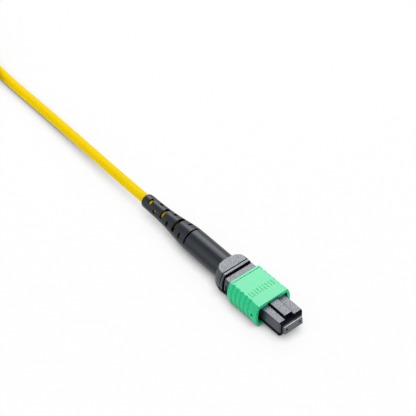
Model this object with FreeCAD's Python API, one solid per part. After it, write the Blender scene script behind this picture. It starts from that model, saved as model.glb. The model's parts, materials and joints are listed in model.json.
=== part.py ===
import FreeCAD, Part
import math
import os

# Multi-fibre push-on plug on a round 3 mm pigtail cable.
# Units are millimetres. +X is the way the plug goes into its adapter, +Z is the key's side and
# the origin is the middle of the ferrule's end face. The plug lies flat on its own underside.

V = FreeCAD.Vector

# Ferrule, a moulded block with two guide holes and one row of fibre holes
ferrule_width = 6.4
ferrule_height = 2.45
ferrule_length = 8.0
shoulder_width = 7.0
shoulder_height = 3.0
shoulder_length = 2.4
end_face_angle = 8.0
guide_hole_diameter = 0.7
guide_hole_pitch = 4.6
fibre_count = 12
fibre_pitch = 0.25
fibre_diameter = 0.125
fibre_hole_clearance = 0.0125
window_set_back = 2.5
window_length = 1.9
window_width = 3.3

# Rubber boot in the back of the ferrule, and the ribbon that it guides
ribbon_thickness = 0.3
ribbon_edge = 0.08
ribbon_rear_margin = 0.3
ribbon_clearance = 0.04
ferrule_boot_width = 3.6
ferrule_boot_height = 1.1
ferrule_boot_length = 5.2
seat_clearance = 0.03

# Spacer that takes the guide pins' place behind a ferrule with open guide holes
keeper_seat_margin = 0.3
keeper_width = 6.2
keeper_height = 2.6
keeper_boss_length = 0.9

# Ferrule spring and coupling springs
ferrule_spring_diameter = 4.8
ferrule_spring_wire = 0.42
ferrule_spring_turns = 3.5
ferrule_float = 1.0
coupling_spring_diameter = 1.14
coupling_spring_wire = 0.2
coupling_spring_turns = 3
spring_flats = 12

# Inner housing: a nose that enters the adapter and a wider body behind it
ferrule_proud = 0.9
nose_width = 8.0
nose_height = 4.96
nose_length = 10.45
nose_bevel_length = 0.55
nose_bevel_drop = 0.38
nose_edge_radius = 0.15
opening_clearance = 0.15
cavity_clearance = 0.07
key_width = 2.7
key_height = 0.56
key_set_back = 1.25
key_groove_width = 0.6
key_groove_depth = 0.35
key_notch_drop = 0.7
hook_window_length = 1.5
hook_window_height = 2.4
hook_window_gap = 0.2
body_length = 11.0
body_height = 6.2
body_edge_width = 9.5
body_bulge = 0.44
body_wall = 0.55

# Coupling sleeve that slides on the housing
sleeve_height = 7.8
sleeve_edge_width = 10.2
sleeve_bulge = 1.1
sleeve_length = 11.7
sleeve_travel = 2.0
sleeve_stop_gap = 0.1
sleeve_clearance = 0.1
lip_length = 1.0
lip_clearance = 0.12
keyway_clearance = 0.6
channel_height = 5.5
channel_inner_width = 8.6
sleeve_side_clearance = 0.12
grip_count = 5
grip_pitch = 1.7
grip_depth = 0.34
grip_wall_share = 0.2
grip_crown_share = 0.55
grip_crown_drop = 0.12
grip_set_in = 1.2
rim_length = 0.58
rim_groove_width = 0.25
rim_groove_depth = 0.15
rim_groove_set_in = 0.25
gate_hole_diameter = 1.0
gate_hole_set_back = 1.65
lug_length = 0.9
lug_height = 1.24
lug_set_back = 1.3
lug_gap = 0.08
lug_root = 0.2
spring_pocket_height = 1.4
spring_pocket_gap = 0.07
spring_seat_length = 2.95

# Spring push: the rear body that latches into the housing and carries the cable
push_gap = 0.55
push_plug_length = 3.35
push_clearance = 0.07
flange_thickness = 0.8
flange_height = 7.54
flange_edge_width = 8.82
flange_bulge = 1.1
flange_groove_width = 0.2
flange_groove_depth = 0.35
head_length = 3.6
head_height = 7.8
head_corner_radius = 2.6
head_corner_steps = 3
latch_thickness = 0.55
latch_height = 2.2
latch_reach = 0.75
latch_catch_length = 1.4
latch_window_set_in = 0.5
latch_slot_depth = 2.65
post_diameter = 4.3
post_bore = 3.3
post_length = 7.6
post_ring_count = 2
post_ring_depth = 0.12

# Crimp ring and the aramid yarn that it grips
yarn_thickness = 0.16
yarn_gap = 0.04
yarn_set_back = 0.3
crimp_wall = 0.32
crimp_set_back = 0.4
crimp_step_gap = 0.9
crimp_rear_length = 5.4

# Strain relief boot
boot_radius = 3.65
boot_socket_depth = 1.8
boot_length = 37.9
boot_clearance = 0.1
boot_shoulder_at = 17.5
boot_bend_radius = 3.3
boot_bend_at = 20.4
boot_waist_radius = 2.72
boot_waist_at = 24.6
boot_tail_radius = 2.2
boot_tail_at = 31.4
slot_width = 0.78
slot_pitch = 3.1
slot_pair_count = 6
slot_last_margin = 3.4
slot_floor = 0.95
slot_first_width = 2.3
slot_width_step = 0.58
slot_turn = 20.0
ring_groove_width = 0.35
ring_groove_depth = 0.3

# Cable, laid on the surface that the plug lies on, and the long coil that its rest is wound into
cable_diameter = 3.0
cable_length = 1000.0
coil_fold_radius = 9.0
coil_run = 45.0
coil_turn_step = 3.05
coil_lanes = 2
coil_margin = 0.1
coil_front_x = -152.9
coil_entry_y = 4.2
tie_thickness = 0.4
tie_width = 9.0
tie_clearance = 0.05

# How far a cutting tool reaches past the face that it cuts, and two cuts that meet into each other
overcut = 0.5
seam = 0.01

# Stations along X, worked out from the lengths above
x_nose_front = -ferrule_proud
x_body_front = x_nose_front - nose_length
x_body_rear = x_body_front - body_length
x_shoulder_front = -(ferrule_length - shoulder_length)
x_keeper_rear = x_body_front - body_wall - keeper_seat_margin
x_sleeve_front = x_body_front + sleeve_stop_gap + sleeve_travel + lip_length
x_sleeve_rear = x_sleeve_front - sleeve_length
x_push_front = x_body_rear + push_plug_length
x_flange_front = x_body_rear - push_gap
x_flange_rear = x_flange_front - flange_thickness
x_head_front = x_flange_rear - flange_groove_width
x_head_rear = x_head_front - head_length
x_boot_front = x_head_rear + boot_socket_depth
x_boot_rear = x_boot_front - boot_length
x_post_rear = x_boot_front - post_length
x_ribbon_rear = x_post_rear + ribbon_rear_margin
x_cable_front = x_ribbon_rear - ferrule_float - ribbon_rear_margin
x_lug_front = x_body_front - lug_set_back
x_spring_seat = x_body_rear + spring_seat_length

# Sizes that follow from the fits
cavity_width = shoulder_width + 2 * cavity_clearance
cavity_height = shoulder_height + 2 * cavity_clearance
body_cavity_height = body_height - 2 * body_wall
body_mid_width = body_edge_width + 2 * body_bulge
sleeve_mid_width = sleeve_edge_width + 2 * sleeve_bulge
sleeve_cavity_height = body_height + 2 * sleeve_clearance
sleeve_cavity_edge = body_edge_width + 2 * sleeve_side_clearance
sleeve_cavity_mid = body_mid_width + 2 * sleeve_side_clearance
coupling_spring_y = sleeve_cavity_mid / 2 - sleeve_side_clearance - coupling_spring_diameter / 2
spring_pocket_floor = coupling_spring_y - coupling_spring_diameter / 2 - spring_pocket_gap
table_z = -sleeve_height / 2
cable_radius = cable_diameter / 2
cable_rest_z = table_z + cable_radius

# Route of the cable from the crimp ring down to the surface and on to the coil
route = [
    V(x_cable_front, 0, 0),
    V(-73.0, 0, 0),
    V(-114.0, 1.85, cable_rest_z),
    V(coil_front_x, coil_entry_y, cable_rest_z + tie_thickness),
]
arc_share = 0.45

# The coil's turns, and the layers that hold them with one turn lost to the climbs between layers
coil_middle_radius = coil_fold_radius + (coil_lanes - 1) * coil_turn_step / 2
coil_turn_length = 2 * (coil_run + math.pi * coil_middle_radius)
coil_turns = (cable_length - (x_cable_front - coil_front_x)) / coil_turn_length
coil_layers = math.ceil((coil_turns + 1) / coil_lanes)
coil_low_z = table_z + tie_thickness
coil_centre_y = coil_entry_y - coil_fold_radius - (coil_lanes - 1) * coil_turn_step


def block(x_front, x_rear, y_low, y_high, z_low, z_high):
    size = (x_front - x_rear, y_high - y_low, z_high - z_low)
    return Part.makeBox(size[0], size[1], size[2], V(x_rear, y_low, z_low))


def centred_block(x_front, x_rear, width, height):
    return block(x_front, x_rear, -width / 2, width / 2, -height / 2, height / 2)


def rod(x_front, x_rear, radius, y=0.0, z=0.0):
    return Part.makeCylinder(radius, x_front - x_rear, V(x_rear, y, z), V(1, 0, 0))


def barrel_prism(x_front, x_rear, height, edge_width, bulge):
    """Prism along X with a flat top and bottom and sides that bulge outwards."""
    half = height / 2
    edge = edge_width / 2
    corners = [V(x_rear, edge, -half), V(x_rear, edge, half), V(x_rear, -edge, half), V(x_rear, -edge, -half)]
    left = Part.Arc(corners[0], V(x_rear, edge + bulge, 0), corners[1]).toShape()
    right = Part.Arc(corners[2], V(x_rear, -edge - bulge, 0), corners[3]).toShape()
    top = Part.LineSegment(corners[1], corners[2]).toShape()
    bottom = Part.LineSegment(corners[3], corners[0]).toShape()
    face = Part.Face(Part.Wire([left, top, right, bottom]))
    return face.extrude(V(x_front - x_rear, 0, 0))


def revolved(profile):
    """Solid of revolution about the X axis from (x, radius) corners."""
    points = [V(x, radius, 0) for x, radius in profile]
    wire = Part.makePolygon(points + [points[0]])
    return Part.Face(wire).revolve(V(0, 0, 0), V(1, 0, 0), 360)


def edges_along_x(shape, longer_than):
    found = []
    for edge in shape.Edges:
        if len(edge.Vertexes) < 2:
            continue
        span = edge.Vertexes[1].Point - edge.Vertexes[0].Point
        if abs(span.x) > longer_than and abs(span.y) + abs(span.z) < 1e-6:
            found.append(edge)
    return found


def behind_end_face(shape):
    """Cuts a shape off at the slanted end face, whose normal leans towards the key."""
    reach = sleeve_mid_width
    tool = Part.makeBox(reach, 2 * reach, 2 * reach, V(0, -reach, -reach))
    tool.rotate(V(0, 0, 0), V(0, 1, 0), -end_face_angle)
    return shape.cut(tool)


def eight_sided_rod(x_front, x_rear, radius, y):
    """Rod along X with eight flats, for the repeated pieces as thin as a hair."""
    half_side = math.pi / 8
    corner = radius / math.cos(half_side)
    turns = [(2 * i + 1) * half_side for i in range(9)]
    outline = [V(x_rear, y + corner * math.cos(turn), corner * math.sin(turn)) for turn in turns]
    return Part.Face(Part.makePolygon(outline)).extrude(V(x_front - x_rear, 0, 0))


def fibre_places():
    first = -(fibre_count - 1) * fibre_pitch / 2
    return [first + i * fibre_pitch for i in range(fibre_count)]


def ribbon_width():
    return fibre_count * fibre_pitch + ribbon_edge


def make_ferrule():
    x_window_rear = -(window_set_back + window_length)
    body = centred_block(overcut, -ferrule_length, ferrule_width, ferrule_height)
    body = body.fuse(centred_block(x_shoulder_front, -ferrule_length, shoulder_width, shoulder_height))
    body = behind_end_face(body)
    window = block(-window_set_back, x_window_rear, -window_width / 2, window_width / 2,
                   -ribbon_thickness, ferrule_height)
    pocket = centred_block(x_window_rear + seam, -ferrule_length, ferrule_boot_width + 2 * seat_clearance,
                           ferrule_boot_height + 2 * seat_clearance)
    cuts = [window, pocket]
    for side in (-1, 1):
        cuts.append(rod(overcut, -ferrule_length, guide_hole_diameter / 2, side * guide_hole_pitch / 2))
    for y in fibre_places():
        cuts.append(eight_sided_rod(overcut, -window_set_back - seam, fibre_diameter / 2 + fibre_hole_clearance, y))
    return body.cut(cuts)


def make_fibre(y):
    x_rear = -(window_set_back + window_length / 2)
    return behind_end_face(eight_sided_rod(overcut, x_rear, fibre_diameter / 2, y))


def make_fibre_ribbon():
    x_front = -(window_set_back + window_length / 2)
    return centred_block(x_front, x_ribbon_rear, ribbon_width(), ribbon_thickness)


def ribbon_slot(x_front, x_rear):
    return centred_block(x_front, x_rear, ribbon_width() + 2 * ribbon_clearance,
                         ribbon_thickness + 2 * ribbon_clearance)


def make_ferrule_boot():
    x_front = -(window_set_back + window_length)
    x_rear = x_front - ferrule_boot_length
    body = centred_block(x_front, x_rear, ferrule_boot_width, ferrule_boot_height)
    return body.cut(ribbon_slot(x_front, x_rear))


def make_pin_keeper():
    x_front = -ferrule_length
    boss_radius = ferrule_spring_diameter / 2 - ferrule_spring_wire - seat_clearance
    body = centred_block(x_front, x_keeper_rear, keeper_width, keeper_height)
    body = body.fuse(rod(x_keeper_rear, x_keeper_rear - keeper_boss_length, boss_radius))
    boot_hole = centred_block(x_front, x_keeper_rear - keeper_boss_length,
                              ferrule_boot_width + 2 * seat_clearance, ferrule_boot_height + 2 * seat_clearance)
    return body.cut(boot_hole).removeSplitter()


def coil_spring(x_front, x_rear, diameter, wire, turns, y):
    """Open spring of square wire between two seats, its axis along X, with flats round each turn."""
    steps = math.ceil(turns * spring_flats)
    inner = (diameter / 2 - wire) / math.cos(math.pi / spring_flats)
    sections = []
    for i in range(steps + 1):
        turn = 2 * math.pi * turns * i / steps
        front = x_front - (x_front - x_rear - wire) * i / steps
        corners = []
        for x, radius in ((front, inner), (front, diameter / 2), (front - wire, diameter / 2), (front - wire, inner)):
            corners.append(V(x, y + radius * math.cos(turn), radius * math.sin(turn)))
        sections.append(Part.makePolygon(corners + [corners[0]]))
    return Part.makeLoft(sections, True, True)


def make_ferrule_spring():
    return coil_spring(x_keeper_rear, x_push_front, ferrule_spring_diameter, ferrule_spring_wire,
                       ferrule_spring_turns, 0)


def make_coupling_spring(side):
    x_front = x_lug_front - lug_gap - lug_length
    return coil_spring(x_front, x_spring_seat, coupling_spring_diameter, coupling_spring_wire,
                       coupling_spring_turns, side * coupling_spring_y)


def make_nose():
    half_width = nose_width / 2
    half_height = nose_height / 2
    nose = centred_block(x_nose_front, x_body_front - body_wall / 2, nose_width, nose_height)
    nose = nose.makeFillet(nose_edge_radius, edges_along_x(nose, nose_length / 2))
    # The four front edges are bevelled as a lead into the adapter
    for side in (-1, 1):
        top = Part.makePolygon([
            V(x_nose_front, 0, side * (half_height - nose_bevel_drop)),
            V(x_nose_front - nose_bevel_length, 0, side * half_height),
            V(x_nose_front, 0, side * half_height),
            V(x_nose_front, 0, side * (half_height - nose_bevel_drop))])
        wedge = Part.Face(top).extrude(V(0, nose_width, 0))
        wedge.translate(V(0, -half_width, 0))
        flank = Part.makePolygon([
            V(x_nose_front, side * (half_width - nose_bevel_drop / 2), 0),
            V(x_nose_front - nose_bevel_length, side * half_width, 0),
            V(x_nose_front, side * half_width, 0),
            V(x_nose_front, side * (half_width - nose_bevel_drop / 2), 0)])
        cheek = Part.Face(flank).extrude(V(0, 0, nose_height))
        cheek.translate(V(0, 0, -half_height))
        nose = nose.cut([wedge, cheek])
    return nose


def add_key(nose):
    top = nose_height / 2
    x_key_front = x_nose_front - key_set_back
    key = block(x_key_front, x_body_front - body_wall / 2, -key_width / 2, key_width / 2, 0, top + key_height)
    y_groove = -key_width / 2 - key_groove_width
    groove = block(x_nose_front, x_body_front, y_groove, -key_width / 2, top - key_groove_depth, top)
    notch = block(x_nose_front, x_key_front, y_groove, key_width / 2, top - key_notch_drop, top)
    return nose.fuse(key).cut([groove, notch])


def housing_cavity():
    opening = centred_block(x_nose_front, x_shoulder_front - overcut, ferrule_width + 2 * opening_clearance,
                            ferrule_height + 2 * opening_clearance)
    front = centred_block(x_shoulder_front, x_body_front - body_wall, cavity_width, cavity_height)
    rear = centred_block(x_body_front - body_wall, x_body_rear, cavity_width, body_cavity_height)
    arm_space = cavity_width + 4 * push_clearance + 2 * latch_thickness
    arms = centred_block(x_body_rear + latch_slot_depth, x_body_rear, arm_space,
                         latch_height + 2 * push_clearance)
    return [opening, front, rear, arms]


def latch_window(side):
    x_rear = x_body_rear + latch_window_set_in
    low = min(side * cavity_width / 2, side * body_mid_width)
    high = max(side * cavity_width / 2, side * body_mid_width)
    half = latch_height / 2 + push_clearance
    return block(x_rear + latch_catch_length + push_clearance, x_rear, low, high, -half, half)


def make_inner_housing():
    body = barrel_prism(x_body_front, x_body_rear, body_height, body_edge_width, body_bulge)
    housing = body.fuse(add_key(make_nose()))
    cuts = housing_cavity()
    for side in (-1, 1):
        low = min(side * spring_pocket_floor, side * body_mid_width)
        high = max(side * spring_pocket_floor, side * body_mid_width)
        half = spring_pocket_height / 2
        cuts.append(block(x_lug_front, x_spring_seat, low, high, -half, half))
        cuts.append(latch_window(side))
        low = min(side * cavity_width / 2, side * nose_width)
        high = max(side * cavity_width / 2, side * nose_width)
        x_hook = x_body_front + hook_window_gap
        half = hook_window_height / 2
        cuts.append(block(x_hook + hook_window_length, x_hook, low - overcut, high + overcut, -half, half))
    return housing.cut(cuts).removeSplitter()


def side_arc(edge_width, bulge, height):
    """Radius of a bulging side and the distance of its axis from the middle plane."""
    half = height / 2
    radius = (bulge ** 2 + half ** 2) / (2 * bulge)
    return radius, edge_width / 2 + bulge - radius


def grip_grooves():
    """Finger grooves that follow the bulge of each side, each with a steep wall that faces the front."""
    radius, axis_y = side_arc(sleeve_edge_width, sleeve_bulge, sleeve_height)
    tools = []
    for i in range(grip_count):
        x = x_sleeve_rear + grip_set_in + i * grip_pitch
        groove = revolved([
            (x, radius), (x + grip_wall_share * grip_pitch, radius - grip_depth),
            (x + grip_crown_share * grip_pitch, radius - grip_crown_drop), (x + grip_pitch, radius),
            (x + grip_pitch, radius + overcut), (x, radius + overcut)])
        for side in (-1, 1):
            tool = groove.copy()
            tool.translate(V(0, side * axis_y, 0))
            tools.append(tool)
    return tools


def lip_opening():
    """Front opening of the sleeve: the nose's outline, the keyway and a channel at each side."""
    x_rear = x_sleeve_front - lip_length - overcut
    nose_hole = centred_block(x_sleeve_front, x_rear, channel_inner_width, nose_height + 2 * lip_clearance)
    key_half = key_width / 2 + keyway_clearance
    keyway = block(x_sleeve_front, x_rear, -key_half, key_half, 0, sleeve_cavity_height / 2)
    channels = barrel_prism(x_sleeve_front, x_rear, sleeve_cavity_height, sleeve_cavity_edge,
                            (sleeve_cavity_mid - sleeve_cavity_edge) / 2)
    channels = channels.common(centred_block(x_sleeve_front, x_rear, sleeve_mid_width, channel_height))
    return nose_hole.fuse([keyway, channels])


def make_coupling_sleeve():
    outer = barrel_prism(x_sleeve_front, x_sleeve_rear, sleeve_height, sleeve_edge_width, sleeve_bulge)
    cavity = barrel_prism(x_sleeve_front - lip_length, x_sleeve_rear, sleeve_cavity_height,
                          sleeve_cavity_edge, (sleeve_cavity_mid - sleeve_cavity_edge) / 2)
    cuts = grip_grooves() + [cavity, lip_opening()]
    rim_half = sleeve_edge_width / 2 - rim_groove_set_in
    x_rim = x_sleeve_rear + rim_length
    for side in (-1, 1):
        floor = side * (sleeve_height / 2 - rim_groove_depth)
        cuts.append(block(x_rim + rim_groove_width, x_rim, -rim_half, rim_half,
                          min(floor, side * sleeve_height), max(floor, side * sleeve_height)))
        gate_y = side * sleeve_mid_width / 2
        cuts.append(Part.makeCylinder(gate_hole_diameter / 2, sleeve_edge_width / 4,
                                      V(x_sleeve_front - gate_hole_set_back, gate_y, 0), V(0, -side, 0)))
    sleeve = outer.cut(cuts)
    lugs = []
    for side in (-1, 1):
        inner = side * (spring_pocket_floor + spring_pocket_gap)
        wall = side * (sleeve_cavity_mid / 2 + lug_root)
        lugs.append(block(x_lug_front - lug_gap, x_lug_front - lug_gap - lug_length, min(inner, wall),
                          max(inner, wall), -lug_height / 2, lug_height / 2))
    return sleeve.fuse(lugs).removeSplitter()


def make_latch_arm(side):
    inner = cavity_width / 2 + push_clearance
    outer = inner + latch_thickness
    x_tip = x_body_rear + latch_slot_depth - push_clearance
    x_catch = x_body_rear + latch_window_set_in + push_clearance
    outline = [
        V(x_flange_front, inner, 0), V(x_tip, inner, 0), V(x_tip, outer, 0),
        V(x_catch + latch_catch_length - push_clearance, outer, 0), V(x_catch, outer + latch_reach, 0),
        V(x_catch, outer, 0), V(x_flange_front, outer, 0)]
    outline = [V(p.x, side * p.y, -latch_height / 2) for p in outline]
    return Part.Face(Part.makePolygon(outline + [outline[0]])).extrude(V(0, 0, latch_height))


def make_head():
    """Rear collar: rounded rear corners and a round socket for the strain relief boot."""
    head = barrel_prism(x_head_front, x_head_rear, head_height, flange_edge_width, flange_bulge)
    radius, axis_y = side_arc(flange_edge_width, flange_bulge, head_height)
    corner = [(x_head_rear, radius + overcut)]
    for i in range(head_corner_steps + 1):
        turn = math.pi / 2 * i / head_corner_steps
        corner.append((x_head_rear + head_corner_radius * (1 - math.cos(turn)),
                       radius - head_corner_radius * (1 - math.sin(turn))))
    corner.append((x_head_rear + head_corner_radius, radius + overcut))
    cuts = [rod(x_boot_front, x_head_rear, boot_radius + seat_clearance)]
    for side in (-1, 1):
        tool = revolved(corner)
        tool.translate(V(0, side * axis_y, 0))
        low = min(0, side * sleeve_mid_width)
        half = block(x_head_front, x_head_rear, low, low + sleeve_mid_width, -head_height, head_height)
        cuts.append(tool.common(half))
    return head.cut(cuts)


def make_spring_push():
    plug_width = cavity_width - 2 * push_clearance
    plug_height = body_cavity_height - 2 * push_clearance
    plug = centred_block(x_push_front, x_flange_front, plug_width, plug_height)
    flange = barrel_prism(x_flange_front, x_flange_rear, flange_height, flange_edge_width, flange_bulge)
    groove = barrel_prism(x_flange_rear, x_head_front, flange_height - 2 * flange_groove_depth,
                          flange_edge_width - 2 * flange_groove_depth, flange_bulge)
    post = rod(x_boot_front, x_post_rear, post_diameter / 2)
    push = plug.fuse([flange, groove, make_head(), post, make_latch_arm(-1), make_latch_arm(1)])
    cuts = [rod(x_push_front, x_post_rear, post_bore / 2)]
    ring_pitch = post_length / (post_ring_count + 1)
    for i in range(post_ring_count):
        x = x_boot_front - (i + 1) * ring_pitch
        ring = rod(x + post_ring_depth, x - post_ring_depth, post_diameter)
        cuts.append(ring.cut(rod(x + overcut, x - overcut, post_diameter / 2 - post_ring_depth)))
    return push.cut(cuts).removeSplitter()


def tube(x_front, x_rear, inner, outer):
    return rod(x_front, x_rear, outer).cut(rod(x_front, x_rear, inner))


def make_aramid_yarn():
    """Yarn from inside the jacket, folded back along the post under the crimp ring."""
    inner = post_diameter / 2 + yarn_gap
    return tube(x_boot_front - yarn_set_back, x_post_rear, inner, inner + yarn_thickness)


def crimp_bores():
    front = post_diameter / 2 + yarn_thickness + 2 * yarn_gap
    rear = cable_radius + yarn_gap
    return front, rear


def crimp_stations():
    x_front = x_boot_front - crimp_set_back
    x_step = x_post_rear - crimp_step_gap
    return x_front, x_step, x_step - crimp_wall - crimp_rear_length


def make_crimp_ring():
    """Ring with a wide part over the post and a narrow one over the jacket."""
    front, rear = crimp_bores()
    x_front, x_step, x_rear = crimp_stations()
    ring = rod(x_front, x_step - crimp_wall, front + crimp_wall)
    ring = ring.fuse(rod(x_step - crimp_wall, x_rear, rear + crimp_wall))
    return ring.cut([rod(x_front, x_step, front), rod(x_step, x_rear, rear)])


def boot_outline():
    """Half section of the boot without its bore: straight, then in steps down to a slim tail."""
    corners = [
        (0, boot_radius), (boot_shoulder_at, boot_radius), (boot_bend_at, boot_bend_radius),
        (boot_waist_at, boot_waist_radius), (boot_tail_at, boot_tail_radius),
        (boot_length, boot_tail_radius)]
    outline = [(x_boot_front - distance, radius) for distance, radius in corners]
    return [(x_boot_front, 0)] + outline + [(x_boot_rear, 0)]


def boot_bore():
    front, rear = crimp_bores()
    x_front, x_step, x_rear = crimp_stations()
    wide = front + crimp_wall + boot_clearance
    middle = rear + crimp_wall + boot_clearance
    x_wide = x_step - crimp_wall - boot_clearance
    x_middle = x_rear - boot_clearance
    return [
        rod(x_boot_front, x_wide, wide), rod(x_wide, x_middle, middle),
        rod(x_middle, x_boot_rear, cable_radius + boot_clearance)]


def boot_slot(x, width, turn):
    """Pair of opposite windows that show the cable, wider across than along."""
    cuts = []
    for side in (0, 180):
        window = block(x + slot_width / 2, x - slot_width / 2, -width / 2, width / 2, slot_floor, 2 * boot_radius)
        window.rotate(V(0, 0, 0), V(1, 0, 0), turn + side)
        cuts.append(window)
    return cuts


def ring_groove(x):
    ring = rod(x + ring_groove_width / 2, x - ring_groove_width / 2, boot_radius + overcut)
    return ring.cut(rod(x + ring_groove_width / 2, x - ring_groove_width / 2, boot_radius - ring_groove_depth))


def make_strain_relief_boot():
    boot = revolved(boot_outline())
    cuts = boot_bore()
    for i in range(slot_pair_count):
        x = x_boot_rear + slot_last_margin + i * slot_pitch
        cuts += boot_slot(x, slot_first_width + i * slot_width_step, slot_turn + 90 * (i % 2))
    cuts.append(ring_groove(x_boot_rear + slot_last_margin + slot_pair_count * slot_pitch))
    return boot.cut(cuts)


def rounded_path(points):
    """Straight runs joined by tangent arcs, each as large as its two runs allow."""
    edges = []
    start = points[0]
    for i in range(1, len(points) - 1):
        before = points[i - 1] - points[i]
        after = points[i + 1] - points[i]
        run = min(before.Length, after.Length)
        half_turn = (math.pi - before.getAngle(after)) / 2
        cut = arc_share * run
        radius = cut / math.tan(half_turn)
        entry = points[i] + before.normalize() * cut
        leave = points[i] + after.normalize() * cut
        bisector = (before + after).normalize()
        middle = points[i] + bisector * (radius / math.cos(half_turn) - radius)
        edges.append(Part.LineSegment(start, entry).toShape())
        edges.append(Part.Arc(entry, middle, leave).toShape())
        print("arc radius", round(radius, 1))
        start = leave
    edges.append(Part.LineSegment(start, points[-1]).toShape())
    return Part.Wire(edges)


def coil_section():
    inner = coil_fold_radius - cable_radius - coil_margin
    outer = coil_fold_radius + (coil_lanes - 1) * coil_turn_step + cable_radius + coil_margin
    high = coil_low_z + (coil_layers - 1) * coil_turn_step + cable_diameter
    return inner, outer, coil_low_z, high


def long_disc(radius, low, high):
    """Solid with the coil's outline in plan: two straight runs and two half-round folds."""
    x_rear = coil_front_x - coil_run
    disc = Part.makeBox(coil_run, 2 * radius, high - low, V(x_rear, coil_centre_y - radius, low))
    ends = [Part.makeCylinder(radius, high - low, V(x, coil_centre_y, low)) for x in (x_rear, coil_front_x)]
    return disc.fuse(ends)


def make_cable():
    """The cable from the crimp ring to the place where it goes into the coil."""
    inner, outer, low, high = coil_section()
    path = rounded_path(route)
    section = Part.Wire(Part.makeCircle(cable_radius, route[0], route[1] - route[0]))
    cable = path.makePipeShell([section], True, False)
    print("cable run", round(path.Length, 2), "volume share",
          round(cable.Volume / (math.pi * cable_radius ** 2 * path.Length), 5))
    return cable.cut(long_disc(outer, table_z, high))


def make_cable_coil():
    """Outer shape of the coil."""
    inner, outer, low, high = coil_section()
    return long_disc(outer, low, high).cut(long_disc(inner, low, high)).removeSplitter()


def make_coil_tie(side):
    """Band round the middle of one of the coil's straight runs."""
    inner, outer, low, high = coil_section()
    x_front = coil_front_x - (coil_run - tie_width) / 2
    y_near = coil_centre_y + side * (inner - tie_clearance)
    y_far = coil_centre_y + side * (outer + tie_clearance)
    hole = (min(y_near, y_far), max(y_near, y_far), low, high + tie_clearance)
    wall = tie_thickness
    band = block(x_front, x_front - tie_width, hole[0] - wall, hole[1] + wall, low - wall, hole[3] + wall)
    return band.cut(block(x_front, x_front - tie_width, *hole))


def all_pieces():
    pieces = {
        "ferrule": make_ferrule(),
        "ferrule_boot": make_ferrule_boot(),
        "pin_keeper": make_pin_keeper(),
        "fibre_ribbon": make_fibre_ribbon(),
        "ferrule_spring": make_ferrule_spring(),
        "inner_housing": make_inner_housing(),
        "coupling_sleeve": make_coupling_sleeve(),
        "coupling_spring_left": make_coupling_spring(1),
        "coupling_spring_right": make_coupling_spring(-1),
        "spring_push": make_spring_push(),
        "aramid_yarn": make_aramid_yarn(),
        "crimp_ring": make_crimp_ring(),
        "strain_relief_boot": make_strain_relief_boot(),
        "cable": make_cable(),
        "cable_coil": make_cable_coil(),
        "coil_tie_near": make_coil_tie(-1),
        "coil_tie_far": make_coil_tie(1),
    }
    for number, y in enumerate(fibre_places(), 1):
        pieces["fibre_%02d" % number] = make_fibre(y)
    return pieces


os.makedirs("parts", exist_ok=True)
for name, shape in all_pieces().items():
    shape.exportStep("parts/" + name + ".step")
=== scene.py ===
# %% [markdown]
# # A multi-fibre push-on plug on a yellow pigtail
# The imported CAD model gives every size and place, and this lesson gives it its looks.
# All of Blender's lengths are metres, so one named value turns the drawing's millimetres into them.

import json
import math

import bmesh
import bpy
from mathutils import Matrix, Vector, geometry


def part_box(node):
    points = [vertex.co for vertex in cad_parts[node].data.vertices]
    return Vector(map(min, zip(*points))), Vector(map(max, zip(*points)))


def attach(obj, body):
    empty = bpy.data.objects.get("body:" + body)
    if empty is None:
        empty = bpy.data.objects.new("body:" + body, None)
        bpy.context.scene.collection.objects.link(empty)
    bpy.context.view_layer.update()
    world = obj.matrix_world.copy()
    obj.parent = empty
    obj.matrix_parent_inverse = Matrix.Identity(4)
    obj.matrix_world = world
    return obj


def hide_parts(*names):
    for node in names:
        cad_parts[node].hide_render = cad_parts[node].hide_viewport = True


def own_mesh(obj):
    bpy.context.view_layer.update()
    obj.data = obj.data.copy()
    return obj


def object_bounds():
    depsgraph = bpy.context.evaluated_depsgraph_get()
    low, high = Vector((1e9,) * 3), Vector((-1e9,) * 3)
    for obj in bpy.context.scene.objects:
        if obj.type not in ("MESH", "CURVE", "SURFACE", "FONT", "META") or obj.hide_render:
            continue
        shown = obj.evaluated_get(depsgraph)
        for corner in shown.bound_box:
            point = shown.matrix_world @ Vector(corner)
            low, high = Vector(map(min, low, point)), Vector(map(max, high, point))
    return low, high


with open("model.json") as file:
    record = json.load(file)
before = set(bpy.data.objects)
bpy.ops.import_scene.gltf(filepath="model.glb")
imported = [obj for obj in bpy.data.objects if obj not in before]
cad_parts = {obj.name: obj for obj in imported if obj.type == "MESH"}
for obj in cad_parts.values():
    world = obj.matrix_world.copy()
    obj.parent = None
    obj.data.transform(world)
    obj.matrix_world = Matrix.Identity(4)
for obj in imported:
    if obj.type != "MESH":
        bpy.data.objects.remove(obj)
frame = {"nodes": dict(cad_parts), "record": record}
cad_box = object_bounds()
nodes = frame["nodes"]
mm = 0.001
table_z = cad_box[0].z
print("CAD box from", [round(v / mm, 2) for v in cad_box[0]], "to", [round(v / mm, 2) for v in cad_box[1]])

# %% [markdown]
# ## The camera
# A small product is pictured from a step back with a long lens, which keeps its edges almost parallel.
# It could be aimed at the plug by a constraint. Instead it is placed by two angles and a distance, and then
# moved aside and up in its own picture plane, because the plug sits away from the middle of the picture.

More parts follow.
